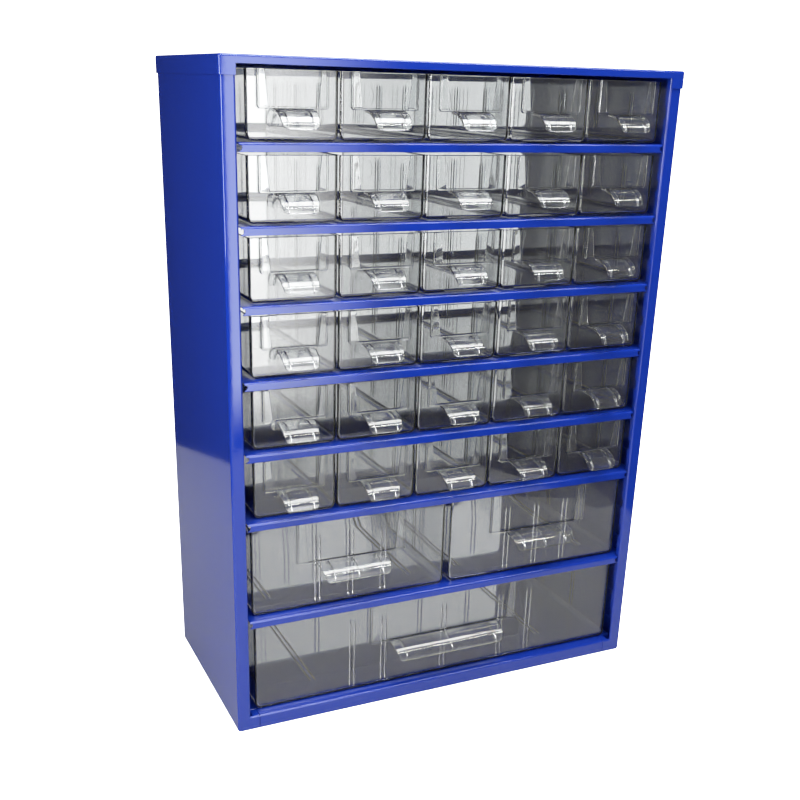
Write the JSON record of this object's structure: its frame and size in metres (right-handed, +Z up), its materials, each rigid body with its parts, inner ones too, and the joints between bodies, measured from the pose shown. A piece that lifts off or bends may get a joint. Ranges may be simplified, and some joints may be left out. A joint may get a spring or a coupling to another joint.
{
  "type": "parts organizer cabinet",
  "caption": "Blue sheet-steel small-parts cabinet with rows of clear plastic drawers, small, medium and large, each with a label pocket and a scoop handle.",
  "frame": {"origin": "centre of the footprint, on the surface that the cabinet stands on, halfway between the drawer handles' foremost point and the cover's back edge", "axes": "+Z up, the drawers open towards -Y, +X to the right seen from the front"},
  "size_m": [0.306, 0.1506, 0.417],
  "materials": {
    "blue_paint": "gloss",
    "clear_plastic": "gloss"
  },
  "bodies": {
    "cabinet": {"case_shell": "blue_paint", "top_cover": "blue_paint", "back_panel": "blue_paint", "floor_plate": "blue_paint", "shelf_1": "blue_paint", "shelf_2": "blue_paint", "shelf_3": "blue_paint", "shelf_4": "blue_paint", "shelf_5": "blue_paint", "shelf_6": "blue_paint", "shelf_7": "blue_paint"},
    "small_drawer_r1c1": {"small_drawer_r1c1": "clear_plastic"},
    "small_drawer_r1c2": {"small_drawer_r1c2": "clear_plastic"},
    "small_drawer_r1c3": {"small_drawer_r1c3": "clear_plastic"},
    "small_drawer_r1c4": {"small_drawer_r1c4": "clear_plastic"},
    "small_drawer_r1c5": {"small_drawer_r1c5": "clear_plastic"},
    "small_drawer_r2c1": {"small_drawer_r2c1": "clear_plastic"},
    "small_drawer_r2c2": {"small_drawer_r2c2": "clear_plastic"},
    "small_drawer_r2c3": {"small_drawer_r2c3": "clear_plastic"},
    "small_drawer_r2c4": {"small_drawer_r2c4": "clear_plastic"},
    "small_drawer_r2c5": {"small_drawer_r2c5": "clear_plastic"},
    "small_drawer_r3c1": {"small_drawer_r3c1": "clear_plastic"},
    "small_drawer_r3c2": {"small_drawer_r3c2": "clear_plastic"},
    "small_drawer_r3c3": {"small_drawer_r3c3": "clear_plastic"},
    "small_drawer_r3c4": {"small_drawer_r3c4": "clear_plastic"},
    "small_drawer_r3c5": {"small_drawer_r3c5": "clear_plastic"},
    "small_drawer_r4c1": {"small_drawer_r4c1": "clear_plastic"},
    "small_drawer_r4c2": {"small_drawer_r4c2": "clear_plastic"},
    "small_drawer_r4c3": {"small_drawer_r4c3": "clear_plastic"},
    "small_drawer_r4c4": {"small_drawer_r4c4": "clear_plastic"},
    "small_drawer_r4c5": {"small_drawer_r4c5": "clear_plastic"},
    "small_drawer_r5c1": {"small_drawer_r5c1": "clear_plastic"},
    "small_drawer_r5c2": {"small_drawer_r5c2": "clear_plastic"},
    "small_drawer_r5c3": {"small_drawer_r5c3": "clear_plastic"},
    "small_drawer_r5c4": {"small_drawer_r5c4": "clear_plastic"},
    "small_drawer_r5c5": {"small_drawer_r5c5": "clear_plastic"},
    "small_drawer_r6c1": {"small_drawer_r6c1": "clear_plastic"},
    "small_drawer_r6c2": {"small_drawer_r6c2": "clear_plastic"},
    "small_drawer_r6c3": {"small_drawer_r6c3": "clear_plastic"},
    "small_drawer_r6c4": {"small_drawer_r6c4": "clear_plastic"},
    "small_drawer_r6c5": {"small_drawer_r6c5": "clear_plastic"},
    "medium_drawer_r7c1": {"medium_drawer_r7c1": "clear_plastic"},
    "medium_drawer_r7c2": {"medium_drawer_r7c2": "clear_plastic"},
    "large_drawer_r8c1": {"large_drawer_r8c1": "clear_plastic"}
  },
  "joints": [
    {"name": "small_r1c1_slide", "type": "slide", "parent": "cabinet", "child": "small_drawer_r1c1", "axis": [0, -1, 0], "range_m": [0, 0.11]},
    {"name": "small_r1c2_slide", "type": "slide", "parent": "cabinet", "child": "small_drawer_r1c2", "axis": [0, -1, 0], "range_m": [0, 0.11]},
    {"name": "small_r1c3_slide", "type": "slide", "parent": "cabinet", "child": "small_drawer_r1c3", "axis": [0, -1, 0], "range_m": [0, 0.11]},
    {"name": "small_r1c4_slide", "type": "slide", "parent": "cabinet", "child": "small_drawer_r1c4", "axis": [0, -1, 0], "range_m": [0, 0.11]},
    {"name": "small_r1c5_slide", "type": "slide", "parent": "cabinet", "child": "small_drawer_r1c5", "axis": [0, -1, 0], "range_m": [0, 0.11]},
    {"name": "small_r2c1_slide", "type": "slide", "parent": "cabinet", "child": "small_drawer_r2c1", "axis": [0, -1, 0], "range_m": [0, 0.11]},
    {"name": "small_r2c2_slide", "type": "slide", "parent": "cabinet", "child": "small_drawer_r2c2", "axis": [0, -1, 0], "range_m": [0, 0.11]},
    {"name": "small_r2c3_slide", "type": "slide", "parent": "cabinet", "child": "small_drawer_r2c3", "axis": [0, -1, 0], "range_m": [0, 0.11]},
    {"name": "small_r2c4_slide", "type": "slide", "parent": "cabinet", "child": "small_drawer_r2c4", "axis": [0, -1, 0], "range_m": [0, 0.11]},
    {"name": "small_r2c5_slide", "type": "slide", "parent": "cabinet", "child": "small_drawer_r2c5", "axis": [0, -1, 0], "range_m": [0, 0.11]},
    {"name": "small_r3c1_slide", "type": "slide", "parent": "cabinet", "child": "small_drawer_r3c1", "axis": [0, -1, 0], "range_m": [0, 0.11]},
    {"name": "small_r3c2_slide", "type": "slide", "parent": "cabinet", "child": "small_drawer_r3c2", "axis": [0, -1, 0], "range_m": [0, 0.11]},
    {"name": "small_r3c3_slide", "type": "slide", "parent": "cabinet", "child": "small_drawer_r3c3", "axis": [0, -1, 0], "range_m": [0, 0.11]},
    {"name": "small_r3c4_slide", "type": "slide", "parent": "cabinet", "child": "small_drawer_r3c4", "axis": [0, -1, 0], "range_m": [0, 0.11]},
    {"name": "small_r3c5_slide", "type": "slide", "parent": "cabinet", "child": "small_drawer_r3c5", "axis": [0, -1, 0], "range_m": [0, 0.11]},
    {"name": "small_r4c1_slide", "type": "slide", "parent": "cabinet", "child": "small_drawer_r4c1", "axis": [0, -1, 0], "range_m": [0, 0.11]},
    {"name": "small_r4c2_slide", "type": "slide", "parent": "cabinet", "child": "small_drawer_r4c2", "axis": [0, -1, 0], "range_m": [0, 0.11]},
    {"name": "small_r4c3_slide", "type": "slide", "parent": "cabinet", "child": "small_drawer_r4c3", "axis": [0, -1, 0], "range_m": [0, 0.11]},
    {"name": "small_r4c4_slide", "type": "slide", "parent": "cabinet", "child": "small_drawer_r4c4", "axis": [0, -1, 0], "range_m": [0, 0.11]},
    {"name": "small_r4c5_slide", "type": "slide", "parent": "cabinet", "child": "small_drawer_r4c5", "axis": [0, -1, 0], "range_m": [0, 0.11]},
    {"name": "small_r5c1_slide", "type": "slide", "parent": "cabinet", "child": "small_drawer_r5c1", "axis": [0, -1, 0], "range_m": [0, 0.11]},
    {"name": "small_r5c2_slide", "type": "slide", "parent": "cabinet", "child": "small_drawer_r5c2", "axis": [0, -1, 0], "range_m": [0, 0.11]},
    {"name": "small_r5c3_slide", "type": "slide", "parent": "cabinet", "child": "small_drawer_r5c3", "axis": [0, -1, 0], "range_m": [0, 0.11]},
    {"name": "small_r5c4_slide", "type": "slide", "parent": "cabinet", "child": "small_drawer_r5c4", "axis": [0, -1, 0], "range_m": [0, 0.11]},
    {"name": "small_r5c5_slide", "type": "slide", "parent": "cabinet", "child": "small_drawer_r5c5", "axis": [0, -1, 0], "range_m": [0, 0.11]},
    {"name": "small_r6c1_slide", "type": "slide", "parent": "cabinet", "child": "small_drawer_r6c1", "axis": [0, -1, 0], "range_m": [0, 0.11]},
    {"name": "small_r6c2_slide", "type": "slide", "parent": "cabinet", "child": "small_drawer_r6c2", "axis": [0, -1, 0], "range_m": [0, 0.11]},
    {"name": "small_r6c3_slide", "type": "slide", "parent": "cabinet", "child": "small_drawer_r6c3", "axis": [0, -1, 0], "range_m": [0, 0.11]},
    {"name": "small_r6c4_slide", "type": "slide", "parent": "cabinet", "child": "small_drawer_r6c4", "axis": [0, -1, 0], "range_m": [0, 0.11]},
    {"name": "small_r6c5_slide", "type": "slide", "parent": "cabinet", "child": "small_drawer_r6c5", "axis": [0, -1, 0], "range_m": [0, 0.11]},
    {"name": "medium_r7c1_slide", "type": "slide", "parent": "cabinet", "child": "medium_drawer_r7c1", "axis": [0, -1, 0], "range_m": [0, 0.11]},
    {"name": "medium_r7c2_slide", "type": "slide", "parent": "cabinet", "child": "medium_drawer_r7c2", "axis": [0, -1, 0], "range_m": [0, 0.11]},
    {"name": "large_r8c1_slide", "type": "slide", "parent": "cabinet", "child": "large_drawer_r8c1", "axis": [0, -1, 0], "range_m": [0, 0.11]}
  ]
}
